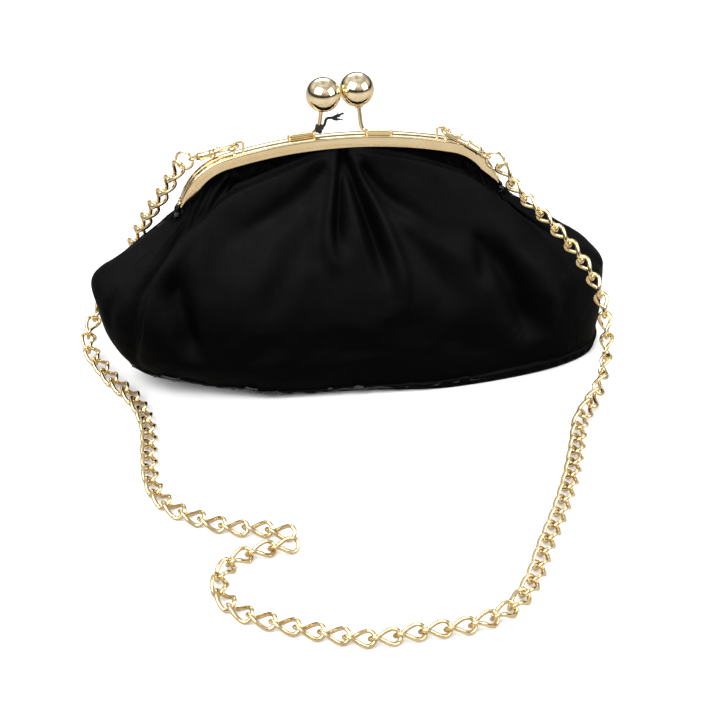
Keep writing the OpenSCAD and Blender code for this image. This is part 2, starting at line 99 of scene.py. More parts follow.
def middle(node):
    low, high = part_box(node)
    return np.array((low + high) / 2) / MM


def turned_to(degrees):
    return np.array([math.cos(math.radians(degrees)), math.sin(math.radians(degrees))])


def unit(v):
    v = np.asarray(v, float)
    return v / np.linalg.norm(v)


def ring_faces(rows, cols, base=0, closed_rows=False):
    faces = []
    last = rows if closed_rows else rows - 1
    for i in range(last):
        for j in range(cols):
            a = base + i * cols + j
            b = base + i * cols + (j + 1) % cols
            c = base + ((i + 1) % rows) * cols + (j + 1) % cols
            d = base + ((i + 1) % rows) * cols + j
            faces.append((a, b, c, d))
    return faces


def end_fans(rows, cols, first, last):
    """Triangles that close a tube: first and last are the points in the middle of its two ends."""
    faces = []
    far = (rows - 1) * cols
    for j in range(cols):
        k = (j + 1) % cols
        faces.append((first, k, j))
        faces.append((last, far + j, far + k))
    return faces


def tube_parts(path, radius, sides, closed=False, up=(0, 0, 1)):
    """Vertices and faces of a round wire along a path; radius may be one value per point."""
    p = np.asarray(path, float)
    n = len(p)
    r = np.broadcast_to(np.asarray(radius, float), (n,))
    if closed:
        tangent = np.roll(p, -1, 0) - np.roll(p, 1, 0)
    else:
        tangent = np.gradient(p, axis=0)
    tangent /= np.linalg.norm(tangent, axis=1)[:, None]
    side = np.cross(up, tangent[0])
    if np.linalg.norm(side) < 1e-3:
        side = np.cross((1, 0, 0), tangent[0])
    side = unit(side)
    verts = []
    angles = np.linspace(0, 2 * np.pi, sides, endpoint=False)
    for i in range(n):
        side = unit(side - tangent[i] * (side @ tangent[i]))
        other = np.cross(tangent[i], side)
        ring = np.outer(np.cos(angles), side) + np.outer(np.sin(angles), other)
        verts.extend(p[i] + r[i] * ring)
    faces = ring_faces(n, sides, closed_rows=closed)
    if not closed:
        verts += [p[0], p[-1]]
        faces += end_fans(n, sides, n * sides, n * sides + 1)
    return np.array(verts), faces


def joined(parts):
    verts, faces, base = [], [], 0
    for v, f in parts:
        verts.append(np.asarray(v, float))
        faces.extend(tuple(i + base for i in face) for face in f)
        base += len(v)
    return np.concatenate(verts), faces


def curve_points(points, per):
    """Smooth path through guide points, with per steps between each two."""
    g = [np.asarray(q, float) for q in points]
    g = [2 * g[0] - g[1]] + g + [2 * g[-1] - g[-2]]
    out = []
    for i in range(1, len(g) - 2):
        for t in np.linspace(0, 1, per, endpoint=False):
            a, b, c, d = g[i - 1], g[i], g[i + 1], g[i + 2]
            out.append(0.5 * (2 * b + (c - a) * t + (2 * a - 5 * b + 4 * c - d) * t * t
                              + (3 * b - a - 3 * c + d) * t ** 3))
    out.append(g[-2])
    return np.array(out)


def revolve_parts(profile, centre, axis, sides):
    """Surface of revolution: profile rows are (radius, height along the axis)."""
    z = unit(axis)
    x = unit(np.cross(z, (0.3, 1, 0.2)))
    y = np.cross(z, x)
    angles = np.linspace(0, 2 * np.pi, sides, endpoint=False)
    circle = np.outer(np.cos(angles), x) + np.outer(np.sin(angles), y)
    centre, n = np.asarray(centre), len(profile)
    verts = []
    for r, h in profile:
        verts.extend(centre + h * z + r * circle)
    verts += [centre + profile[0][1] * z, centre + profile[-1][1] * z]
    return np.array(verts), ring_faces(n, sides) + end_fans(n, sides, n * sides, n * sides + 1)


def ease(v):
    c = np.clip(v, 0, 1)
    return c * c * (3 - 2 * c)


# ---- materials ----------------------------------------------------------------------
def node_material(name):
    mat = bpy.data.materials.new(name)
    mat.use_nodes = True
    nodes, links = mat.node_tree.nodes, mat.node_tree.links
    return mat, nodes, links, nodes["Principled BSDF"]


def noise_node(nodes, links, coord, scale, detail, rough=0.5):
    tex = nodes.new("ShaderNodeTexNoise")
    tex.inputs["Scale"].default_value = scale
    tex.inputs["Detail"].default_value = detail
    tex.inputs["Roughness"].default_value = rough
    links.new(coord, tex.inputs["Vector"])
    return tex.outputs["Fac"]


def ramp(nodes, links, value, low, high, start=0.3, end=0.7):
    node = nodes.new("ShaderNodeMapRange")
    node.inputs["From Min"].default_value = start
    node.inputs["From Max"].default_value = end
    node.inputs["To Min"].default_value = low
    node.inputs["To Max"].default_value = high
    links.new(value, node.inputs["Value"])
    return node.outputs["Result"]


def mix_colour(nodes, links, fac, a, b, blend="MIX"):
    """Mix of two colours; each may be a colour or a socket, and so may the factor be a number or a socket."""
    node = nodes.new("ShaderNodeMix")
    node.data_type = "RGBA"
    node.blend_type = blend
    for name, value in (("A", a), ("B", b), ("Factor", fac)):
        if isinstance(value, tuple):
            node.inputs[name].default_value = (*value, 1)
        elif isinstance(value, (int, float)):
            node.inputs[name].default_value = value
        else:
            links.new(value, node.inputs[name])
    return node.outputs["Result"]


def maths(nodes, links, operation, a, b):
    node = nodes.new("ShaderNodeMath")
    node.operation = operation
    links.new(a, node.inputs[0])
    links.new(b, node.inputs[1])
    return node.outputs[0]


def bump(nodes, links, height, strength, distance, normal=None):
    """Surface relief; distance is the depth in millimetres of a full step in height."""
    node = nodes.new("ShaderNodeBump")
    node.inputs["Strength"].default_value = strength
    node.inputs["Distance"].default_value = distance * MM
    links.new(height, node.inputs["Height"])
    if normal:
        links.new(normal, node.inputs["Normal"])
    return node.outputs["Normal"]


def height_of(nodes, links, vector):
    split = nodes.new("ShaderNodeSeparateXYZ")
    links.new(vector, split.inputs["Vector"])
    return split.outputs["Z"]


EDGE = 0.25  # radius that sharp metal edges shade with


def metal(name, colour, worn, rough, scratch=0.05):
    """Polished metal: cloudy wear, hairline scratches and edges that shade as if rounded."""
    mat, nodes, links, bsdf = node_material(name)
    coord = nodes.new("ShaderNodeTexCoord").outputs["Object"]
    cloud = ramp(nodes, links, noise_node(nodes, links, coord, 70, 4), 0, 1)
    links.new(mix_colour(nodes, links, cloud, colour, worn), bsdf.inputs["Base Color"])
    fine = noise_node(nodes, links, coord, 900, 5, 0.65)
    links.new(ramp(nodes, links, fine, rough * 0.8, rough * 1.5), bsdf.inputs["Roughness"])
    bsdf.inputs["Metallic"].default_value = 1.0
    stretch = nodes.new("ShaderNodeMapping")
    stretch.inputs["Scale"].default_value = (1, 1, 9)
    stretch.inputs["Rotation"].default_value = (0.5, 0.7, 0.2)
    links.new(coord, stretch.inputs["Vector"])
    hair = noise_node(nodes, links, stretch.outputs["Vector"], 1400, 2)
    rounding = nodes.new("ShaderNodeBevel")
    rounding.samples = 4
    rounding.inputs["Radius"].default_value = EDGE * MM
    relief = bump(nodes, links, hair, scratch, 0.04, rounding.outputs["Normal"])
    links.new(relief, bsdf.inputs["Normal"])
    return mat


def cloth_material(name, dark, light, rough, sheen, weave, grain, shine=0.3, painted_top_light=False):
    """Soft cloth: fine crossed threads, grainy nap, slow colour drift; the last flag adds painted top light,
    making the base colour paler on faces turned up and darker on faces turned down.
    """
    mat, nodes, links, bsdf = node_material(name)
    coord = nodes.new("ShaderNodeTexCoord").outputs["Object"]
    drift = noise_node(nodes, links, coord, 28, 4)
    nap = noise_node(nodes, links, coord, grain, 5, 0.7)
    pale = ramp(nodes, links, nap, 0.2, 1)
    share = maths(nodes, links, "MULTIPLY", ramp(nodes, links, drift, 0.35, 1), pale)
    if painted_top_light:
        # painted light: the base colour is paler on faces turned up and darker on faces turned sideways or
        # down, as under a lamp from above
        facing_up = height_of(nodes, links, nodes.new("ShaderNodeNewGeometry").outputs["Normal"])
        share = maths(nodes, links, "MULTIPLY", share, ramp(nodes, links, facing_up, 0, 1, -0.1, 0.8))
    links.new(mix_colour(nodes, links, share, dark, light), bsdf.inputs["Base Color"])
    links.new(ramp(nodes, links, nap, rough - 0.08, rough + 0.1), bsdf.inputs["Roughness"])
    bsdf.inputs["Sheen Weight"].default_value = sheen
    bsdf.inputs["Sheen Roughness"].default_value = 0.45
    bsdf.inputs["Specular IOR Level"].default_value = shine
    waves = []
    for turn in (0.6, 2.17):
        spin = nodes.new("ShaderNodeMapping")
        spin.inputs["Rotation"].default_value = (0, turn, 0.25)
        links.new(coord, spin.inputs["Vector"])
        wave = nodes.new("ShaderNodeTexWave")
        wave.inputs["Scale"].default_value = weave
        wave.inputs["Distortion"].default_value = 1.2
        wave.inputs["Detail"].default_value = 1
        links.new(spin.outputs["Vector"], wave.inputs["Vector"])
        waves.append(wave.outputs["Fac"])
    threads = maths(nodes, links, "ADD", *waves)
    fine = bump(nodes, links, threads, 0.16, 0.12)
    links.new(bump(nodes, links, nap, 0.3, 0.3, fine), bsdf.inputs["Normal"])
    return mat


GOLD = metal("frame_gold", (0.86, 0.71, 0.46), (0.78, 0.61, 0.36), 0.13, 0.03)
BRIGHT = metal("lock_gold", (0.93, 0.79, 0.54), (0.88, 0.72, 0.46), 0.05, 0.02)
PALE = metal("pale_gold", (0.85, 0.69, 0.41), (0.76, 0.58, 0.31), 0.10, 0.02)
CHAIN = metal("chain_gold", (0.90, 0.74, 0.44), (0.79, 0.60, 0.30), 0.07, 0.02)
STEEL = metal("spring_steel", (0.62, 0.62, 0.63), (0.5, 0.5, 0.5), 0.25)
# the black cloth gets painted top light and painted shade from the way its faces turn
SATIN = cloth_material("black_cloth", (0.0006, 0.0006, 0.0007), (0.0095, 0.0095, 0.0100), 0.5, 0.0, 900, 1500,
                       shine=0.02, painted_top_light=True)
LINING = cloth_material("lining_cloth", (0.010, 0.009, 0.011), (0.028, 0.026, 0.030), 0.42, 0.1, 1200, 2200)
THREAD = cloth_material("thread", (0.004, 0.004, 0.004), (0.013, 0.013, 0.014), 0.6, 0.1, 3000, 4000)
PAPER = cloth_material("paper_cord", (0.30, 0.24, 0.16), (0.46, 0.38, 0.27), 0.85, 0.0, 1500, 2500)
BOARD = cloth_material("base_board", (0.20, 0.16, 0.11), (0.32, 0.26, 0.19), 0.9, 0.0, 700, 1200)


# ---- frame halves: a rounded channel swept along the arch -----------------------------
ARC_R, SHOULDER_R, SHOULDER_X, SHOULDER_Z, HINGE_Z = 300.0, 39.5, 62.5, 112.9, 121.0
FACE = 7.0
ARC_Z = SHOULDER_Z - math.sqrt((ARC_R - SHOULDER_R) ** 2 - SHOULDER_X ** 2)
TIP_ANGLE = math.degrees(math.asin((HINGE_Z - SHOULDER_Z) / SHOULDER_R))
TIP_X = SHOULDER_X + SHOULDER_R * math.cos(math.radians(TIP_ANGLE))
JOIN_ANGLE = math.degrees(math.acos(SHOULDER_X / (ARC_R - SHOULDER_R)))
TAPER_ANGLE = 35.0
INNER_R = SHOULDER_R - FACE
INNER_ARC = ARC_R - FACE
INNER_JOIN = SHOULDER_X * INNER_ARC / (ARC_R - SHOULDER_R)
SHOULDER = np.array([SHOULDER_X, SHOULDER_Z])
TAPER = SHOULDER + INNER_R * turned_to(TAPER_ANGLE)
LEAST_FACE = 1.3


def face_depth(angle):
    """Height of the frame face at a shoulder angle; it tapers to a point at the hinge."""
    if angle >= TAPER_ANGLE:
        return FACE
    line = np.array([TIP_X, HINGE_Z]) - TAPER
    normal = np.array([-line[1], line[0]])
    reach = ((TAPER - SHOULDER) @ normal) / (turned_to(angle) @ normal)
    return max(LEAST_FACE, SHOULDER_R - reach)


def arch_stations():
    """Points on the outer edge from left tip to right tip, with outward normal and face height."""
    half = []
    for angle in np.linspace(TIP_ANGLE, JOIN_ANGLE, 44):
        n = turned_to(angle)
        half.append((SHOULDER + SHOULDER_R * n, n, face_depth(angle)))
    for angle in np.linspace(JOIN_ANGLE, 90, 26)[1:]:
        n = turned_to(angle)
        half.append((np.array([0, ARC_Z]) + ARC_R * n, n, FACE))
    flip = np.array([-1.0, 1.0])
    left = [(p * flip, n * flip, d) for p, n, d in half[:-1]]
    return left + half[::-1]


def channel_loop(drop):
    """Closed loop of (y, drop) pairs: softened lower edge, rounded face, flat meeting wall."""
    outer, inner, wall, lip, fillet = 5.0, 0.1, 0.7, 0.3, 0.5
    corner = min(1.1, drop * 0.5)
    loop = [(outer - wall, drop - 0.2)]
    for a in np.linspace(math.pi * 0.75, 0, 6):
        loop.append((outer - lip + lip * math.cos(a), drop - lip + lip * math.sin(a)))
    for a in np.linspace(0, math.pi / 2, 6):
        loop.append((outer - corner + corner * math.cos(a), corner - corner * math.sin(a)))
    for a in np.linspace(math.pi / 2, math.pi, 4):
        loop.append((inner + fillet + fillet * math.cos(a), fillet - fillet * math.sin(a)))
    roof = min(wall, drop - 0.2)
    loop += [(inner, drop), (inner + wall, drop)]
    loop += [(inner + wall, min(wall + 0.3, drop - 0.1)), (inner + wall + 0.3, roof)]
    loop += [(outer - wall - 0.4, roof), (outer - wall, min(wall + 0.4, drop - 0.1))]
    return loop


def swept_faces(rows, cols):
    """Faces of a closed section swept along a path, with both ends flat."""
    return ring_faces(rows, cols) + [tuple(range(cols)), tuple(range((rows - 1) * cols, rows * cols))]


RIVET_HEAD, TAB_THICK, TAB_STEP = 0.9, 1.1, 1.3
TAB_PROFILE = [(3.6, 0.0), (3.9, 0.12), (4.0, 0.35), (4.0, 0.85), (3.9, 1.08), (3.6, 1.2)]


def frame_half(name, side, body, node, tab_from):
    """Channel along the arch, with a round hinge tab at each end that starts at tab_from."""
    stations = arch_stations()
    rows = []
    for p, n, depth in stations:
        for y, drop in channel_loop(depth):
            q = p - n * drop
            rows.append((q[0], side * y, q[1]))
    parts = [(rows, swept_faces(len(stations), len(channel_loop(FACE))))]
    for k in (-1, 1):
        parts.append(revolve_parts(TAB_PROFILE, (k * tab_from, 0, HINGE_Z), (k, 0, 0), 40))
    solid_piece(name, joined(parts), GOLD, "gold", body, node)


TAB_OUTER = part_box("right_rivet")[1].x / MM - RIVET_HEAD - TAB_THICK
frame_half("frame_front_half", -1, "bag", "front_frame", TAB_OUTER)
frame_half("frame_rear_half", 1, "rear_half", "rear_frame", TAB_OUTER - TAB_STEP)


# ---- kiss lock -------------------------------------------------------------------------
BAR_IN, BAR_L, BAR_W, BAR_H, BAR_Y = 15.5, 17.0, 2.8, 3.0, 2.15
BAR_SUNK = 0.15
POST_R = 1.3


def arch_z(x):
    return ARC_Z + math.sqrt(ARC_R ** 2 - x * x)


BAR_Z = arch_z(BAR_IN + BAR_L / 2)


def lock_bar(name, turn, body, node):
    """Soldered bar with softened edges and ends, following the arch."""
    rows, section = [], []
    for t in np.linspace(0, 2 * math.pi, 28, endpoint=False):
        c, s = math.cos(t), math.sin(t)
        section.append((math.copysign(abs(c) ** 0.35, c) * BAR_W / 2, math.copysign(abs(s) ** 0.35, s)))
    shares = np.linspace(0, 1, 16)
    for u in shares:
        x = BAR_IN + BAR_L * u
        shrink = 0.72 + 0.28 * math.sqrt(min(1.0, min(u, 1 - u) * BAR_L / 0.9))
        for sy, sz in section:
            up = (BAR_H + BAR_SUNK) * (0.5 + 0.5 * sz * shrink) - BAR_SUNK
            rows.append((turn * x, turn * (sy * shrink - BAR_Y), arch_z(x) + up))
    solid_piece(name, (rows, swept_faces(len(shares), len(section))), PALE, "pale_gold", body, node)


def lock_post(name, turn, body, node, ball):
    """Post that leaves the bar, bends and rises to the ball; returns the point where it bends."""
    foot = np.array([turn * (BAR_IN + 1.6), -turn * BAR_Y, BAR_Z + BAR_H - 0.5])
    elbow = np.array([turn * (BAR_IN - 2.6), -turn * BAR_Y, BAR_Z + BAR_H / 2 + 3.4])
    path = [foot + (0, 0, -0.6)]
    knee = elbow + 0.25 * (foot - elbow)
    rise = elbow + 0.22 * (ball - elbow)
    for t in np.linspace(0, 1, 12):
        path.append((1 - t) ** 2 * knee + 2 * t * (1 - t) * elbow + t * t * rise)
    for t in np.linspace(0.3, 0.93, 8):
        path.append(elbow + t * (ball - elbow))
    solid_piece(name, tube_parts(path, POST_R, 20), PALE, "pale_gold", body, node)
    return elbow


def lock_ball(name, centre, elbow, body, node):
    """Polished ball with a small collar where the post enters."""
    low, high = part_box(node)
    radius = (high.z - low.z) / 2 / MM
    profile = []
    for a in np.radians(np.linspace(2, 162, 60)):
        profile.append((radius * math.sin(a), -radius * math.cos(a)))
    neck = radius * math.cos(math.radians(18))
    profile += [(2.7, neck + 0.25), (2.75, neck + 0.7), (2.4, neck + 1.0), (1.4, neck + 1.05)]
    solid_piece(name, revolve_parts(profile, centre, elbow - centre, 72), BRIGHT, "pale_gold", body, node)


for tag, turn, body in (("front", 1, "bag"), ("rear", -1, "rear_half")):
    ball = middle(tag + "_ball")
    lock_bar("lock_bar_" + tag, turn, body, tag + "_bar")
    elbow = lock_post("lock_post_" + tag, turn, body, tag + "_post", ball)
    lock_ball("lock_ball_" + tag, ball, elbow, body, tag + "_ball")


def tag_cord(elbow, ball):
    """Black cord knotted round the foot of the rear post; one end climbs beside it and frays to the right."""
    up = unit(ball - elbow)
    right = unit(np.cross(np.cross(up, (1, 0, 0)), up))
    front = np.cross(up, right)
    if front[1] > 0:
        front = -front
    centre = elbow + 1.6 * up
    parts = []

    def by(point, rightwards, upwards, forwards=0.0):
        return point + rightwards * right + upwards * up + forwards * front

    def strand(points, per, thick, thin, sides):
        path = curve_points(points, per)
        parts.append(tube_parts(path, np.linspace(thick, thin, len(path)), sides))

    for rise in (-0.55, 0.55):
        loop = [by(centre, 2 * math.cos(t), rise + 0.25 * math.sin(t), 2 * math.sin(t))
                for t in np.linspace(0, 2 * math.pi, 28, endpoint=False)]
        parts.append(tube_parts(loop, 0.6, 9, closed=True, up=up))
    knot = by(centre, -0.3, -0.9, 2.1)
    turns = [by(knot, 0.8 * (math.sin(t) + 2 * math.sin(2 * t)), 0.56 * (math.cos(t) - 2 * math.cos(2 * t)),
                -0.88 * math.sin(3 * t)) for t in np.linspace(0, 2 * math.pi, 72, endpoint=False)]
    parts.append(tube_parts(turns, 0.85, 9, closed=True, up=front))
    bend = by(knot, 3.6, 8.4, 0.8)
    strand([knot, by(knot, 2.6, 3.6, 0.6), bend, by(bend, 3.4, 0.9)], 6, 0.95, 0.85, 9)
    rng = np.random.default_rng(7)
    start = by(bend, 2.6, 0.7)
    for _ in range(13):
        spread = rng.normal(0, 1, 3)
        end = by(start, 7.2 + rng.uniform(-2.6, 2.0), 2.6 + 2.0 * spread[2], spread[1])
        strand([start, (start + end) / 2 + rng.normal(0, 0.5, 3), end], 4, 0.5, 0.22, 6)
    strand([knot, by(knot, -1.6, -0.6, 0.5), by(knot, -3.2, -1.0, 0.4)], 5, 0.7, 0.4, 8)
    solid_piece("tag_cord", joined(parts), THREAD, "string", "rear_half", "tag_string")


tag_cord(elbow, ball)  # the post made last is the rear one


# ---- strap staples -------------------------------------------------------------------------
STAPLE_R, STAPLE_BEND, STAPLE_SUNK = 0.75, 1.1, 0.3
SOLDER = [(1.5, 0.0), (1.35, 0.25), (0.95, 0.6), (0.78, 1.1)]


def staple(name, node):
    """Round-cornered wire staple with a little solder round each foot."""
    low, high = [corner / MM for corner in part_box(node)]
    y = middle(node)[1]
    bend, foot, top = STAPLE_BEND, low.z - STAPLE_SUNK, high.z - STAPLE_R - STAPLE_BEND
    legs = []
    for x, inward in ((low.x + STAPLE_R, 1), (high.x - STAPLE_R, -1)):
        leg = [(x, y, z) for z in np.linspace(foot, top, 6)]
        for a in np.linspace(0, math.pi / 2, 7)[1:]:
            leg.append((x + inward * bend * (1 - math.cos(a)), y, top + bend * math.sin(a)))
        legs.append(leg)
    parts = [tube_parts(legs[0] + legs[1][::-1], STAPLE_R, 16)]
    for leg in legs:
        x = leg[0][0]
        parts.append(revolve_parts(SOLDER, (x, y, arch_z(x) - 0.25), (0, 0, 1), 20))
    solid_piece(name, joined(parts), PALE, "pale_gold", "bag", node)


staple("strap_loop_left", "left_loop")
staple("strap_loop_right", "right_loop")


# ---- snap hooks: a long open jaw, a sliding pin with a thumb tab, a turned barrel ----------------
JAW_AT = np.array([67.15, -2.55, 157.6])
HOOK_DIR = {"right": (29.6, -14, -16.8), "left": (-29.6, 15.8, -13.1)}
JAW_R, BARREL_FROM, BARREL_TO, BARREL_R, PIN_Y = 3.1, 12.9, 24.4, 2.6, 1.5


def hook_piece(name, side, parts, node):
    """Puts parts, modelled with the jaw round the origin and the barrel along x, where the hook hangs."""
    x = unit(HOOK_DIR[side])
    y = unit(np.cross((0, 0, 1), x))
    jaw_at = JAW_AT * (1 if side == "right" else -1, 1, 1)
    verts, faces = joined(parts)
    placed = jaw_at + verts @ np.array([x, y, np.cross(x, y)])
    solid_piece(name, (placed, faces), PALE, "pale_gold", node, node)


def snap_hook(side):
    """Hook body: an open jaw that thickens into an arm, and a turned barrel with a collar near each end."""
    jaw = [(JAW_R * math.cos(a), JAW_R * math.sin(a), 0) for a in np.radians(np.linspace(50, 262, 22))]
    arm = curve_points([jaw[-1], (3.5, -3.15, 0), (8, -2.7, 0), (BARREL_FROM - 0.6, -1.5, 0),
                        (BARREL_FROM + 1.2, -1.2, 0)], 6)
    path = np.array(jaw + list(arm[1:]))
    thick = np.interp(np.linspace(0, 1, len(path)), [0, 0.06, 0.3, 0.75, 1], [0.75, 1.0, 1.2, 1.5, 1.35])
    r, end = BARREL_R, BARREL_TO - BARREL_FROM
    turned = [(r * 0.8, 0), (r * 0.94, 0.15), (r, 0.5), (r, 1.1), (r + 0.3, 1.2), (r + 0.3, 1.9), (r, 2.0),
              (r * 0.93, 2.5), (r, 3.0), (r, end - 2.4), (r + 0.28, end - 2.2), (r + 0.28, end - 1.3),
              (r * 0.97, end - 1.1), (r * 0.92, end - 0.4), (r * 0.72, end)]
    barrel = revolve_parts(turned, (BARREL_FROM, 0, 0), (1, 0, 0), 40)
    hook_piece("hook_" + side, side, [tube_parts(path, thick, 18), barrel], side + "_hook")


def hook_pin(side):
    """Sliding pin: its front closes the jaw, its stem runs into the barrel, a thumb tab stands on it."""

    def bar(points, radii, sides):
        return tube_parts([(x, PIN_Y, z) for x, z in points], radii, sides)

    pin = bar([(2.5, 0), (2.7, 0), (9.7, 0), (9.9, 0), (10.0, 0), (15.2, 0)],
              [0.55, 0.8, 0.8, 0.7, 0.34, 0.34], 16)
    neck = bar([(8.4, 0), (8.4, 1.2), (8.4, 2.7)], [0.7, 0.6, 0.7], 12)
    tab = bar([(7.3, 3.0), (7.5, 3.05), (9.3, 3.05), (9.5, 3.0)], [0.4, 0.62, 0.62, 0.4], 14)
    hook_piece("hook_pin_" + side, side, [pin, neck, tab], side + "_bolt")


SIDES = ("left", "right")
for side in SIDES:
    snap_hook(side)
    hook_pin(side)


# ---- chain: twisted curb links where the CAD links are -------------------------------------------
WIRE_R, LINK_R, LINK_S = 1.22, 4.2, 4.0
TWIST = math.radians(48)
ON_FLOOR = 8  # a link whose centre is lower than this lies on the floor


def link_islands(node):
    """Centre and flat normal of every link in a CAD chain node."""
    bm = bmesh.new()
    bm.from_mesh(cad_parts[node].data)
    bmesh.ops.remove_doubles(bm, verts=bm.verts, dist=1e-5)
    seen, groups = set(), []
    for v in bm.verts:
        if v.index in seen:
            continue
        stack, group = [v], []
        seen.add(v.index)
        while stack:
            w = stack.pop()
            group.append(w.co.copy())
            for e in w.link_edges:
                o = e.other_vert(w)
                if o.index not in seen:
                    seen.add(o.index)
                    stack.append(o)
        groups.append(np.array(group) / MM)
    bm.free()
    out = []
    for g in groups:
        centre = g.mean(0)
        least_spread = np.linalg.eigh(np.cov((g - centre).T))[1][:, 0]
        out.append((centre, least_spread))
    return out


def chain_order(links, at):
    """The links in their order along the chain, from the one nearest to the point at."""
    rest, order = list(links), []
    while rest:
        k = min(range(len(rest)), key=lambda i: np.linalg.norm(rest[i][0] - at))
        order.append(rest.pop(k))
        at = order[-1][0]
    return order


def link_shape():
    """Wire centre line of one link, its middle twisted so that the two ends stand across each other."""
    pts = []
    for end in (1, -1):
        for a in np.linspace(-math.pi / 2, math.pi / 2, 15):
            pts.append((end * (LINK_S + LINK_R * math.cos(a)), end * LINK_R * math.sin(a)))
        for x in np.linspace(LINK_S, -LINK_S, 15)[1:-1]:
            pts.append((end * x, end * LINK_R))
    out = []
    for x, y in pts:
        turn = TWIST * math.sin(math.pi / 2 * x / (LINK_S + LINK_R))
        out.append((x, y * math.cos(turn), y * math.sin(turn)))
    return np.array(out)


def best_turned(candidates, wanted):
    """The candidate direction, or its opposite, that points most along wanted."""
    return max(candidates + [-u for u in candidates], key=lambda u: u @ wanted)


def chain_run(cad_nodes, at, names, bodies):
    """Twisted links at the places of the CAD links of several nodes that follow each other."""
    runs, links = [], []
    for node in cad_nodes:
        ordered = chain_order(link_islands(node), at)
        runs.append((node, len(links), len(links) + len(ordered)))
        links += ordered
        at = ordered[-1][0]
    n = len(links)
    centres = np.array([centre for centre, _ in links])
    lengthwise = [unit(centres[min(n - 1, i + 1)] - centres[max(0, i - 1)]) for i in range(n)]
    # CAD links lean 45 degrees to one side and the other by turns; twisted links all lie between the two leans
    flats = []
    for x, (_, z) in zip(lengthwise, links):
        z = unit(z - (z @ x) * x)
        y = np.cross(z, x)
        flats.append([unit(z + y), unit(z - y)])
    floor = [i for i in range(n) if centres[i][2] < ON_FLOOR]
    anchor = floor[len(floor) // 2]
    chosen = [None] * n
    chosen[anchor] = best_turned(flats[anchor], np.array([0, 0, 1]))
    for step in (1, -1):
        i = anchor + step
        while 0 <= i < n:
            chosen[i] = best_turned(flats[i], chosen[i - step])
            i += step
    shape = link_shape()
    wires = []
    for centre, x, up in zip(centres, lengthwise, chosen):
        z = unit(up - (up @ x) * x)
        wires.append(centre + shape @ np.array([x, np.cross(z, x), z]))
    for (node, first, last), name, body in zip(runs, names, bodies):
        parts = [tube_parts(wire, WIRE_R, 12, closed=True, up=(0.31, 0.2, 1)) for wire in wires[first:last]]
        solid_piece(name, joined(parts), CHAIN, "pale_gold", body, node)


chain_run(["right_drop_links", "front_run_links", "bend_run_links"], middle("right_ring"),
          ["chain_right_drop", "chain_front_run", "chain_bend_run"], ["right_drop", "front_run", "bend_run"])
chain_run(["left_drop_links", "left_run_links"], middle("left_ring"),
          ["chain_left_drop", "chain_left_run"], ["left_drop", "left_run"])


# ---- pouch: gathered skins -------------------------------------------------------------------------
SIDE = 22.0  # degrees either side of the far left and the far right that belong to the gussets
COS_SIDE = math.cos(math.radians(SIDE))
GUSSET_X, WIDE_LEFT, WIDE_RIGHT = 99.0, 158.5, 176.0


def inner_z(x):
    """Height of the lower edge of the frame face."""
    arc = ARC_Z + np.sqrt(np.maximum(INNER_ARC ** 2 - x * x, 1))
    bend = SHOULDER_Z + np.sqrt(np.maximum(INNER_R ** 2 - (x - SHOULDER_X) ** 2, 1))
    line = HINGE_Z + (TIP_X - x) / (TIP_X - TAPER[0]) * (TAPER[1] - HINGE_Z)
    return np.where(x < INNER_JOIN, arc, np.where(x < TAPER[0], bend, line))


def rim(a, left, right, front, rear, power):
    """Squarish oval seen from above, with its own reach in each of the four directions."""
    c, s = np.cos(a), np.sin(a)
    x = np.where(c < 0, left, right) * np.sign(c) * np.abs(c) ** (2 / power)
    y = np.where(s < 0, front, rear) * np.sign(s) * np.abs(s) ** (2 / power)
    return x, y


def lift(x):
    """Height of the bottom above the floor: the left end does not touch it."""
    return 9 * ease((-x - 40) / 90)


def base_rim(a, inset=0.0):
    """Outline of the bottom; its front edge comes forward on the right."""
    c = np.cos(a)
    front = 39 + 11 * ease((c + 0.1) / 0.4) - 6 * ease((-c - 0.1) / 0.4)
    return rim(a, 126 - inset, 170 - inset, front - inset, 39 - inset, 2.5)


def bez(a, b, c, d, t):
    """Cubic curve from a to d, pulled towards b and c."""
    return (1 - t) ** 3 * a + 3 * (1 - t) ** 2 * t * b + 3 * (1 - t) * t * t * c + t ** 3 * d


def upright(z):
    return np.stack([0 * z, 0 * z, z], -1)


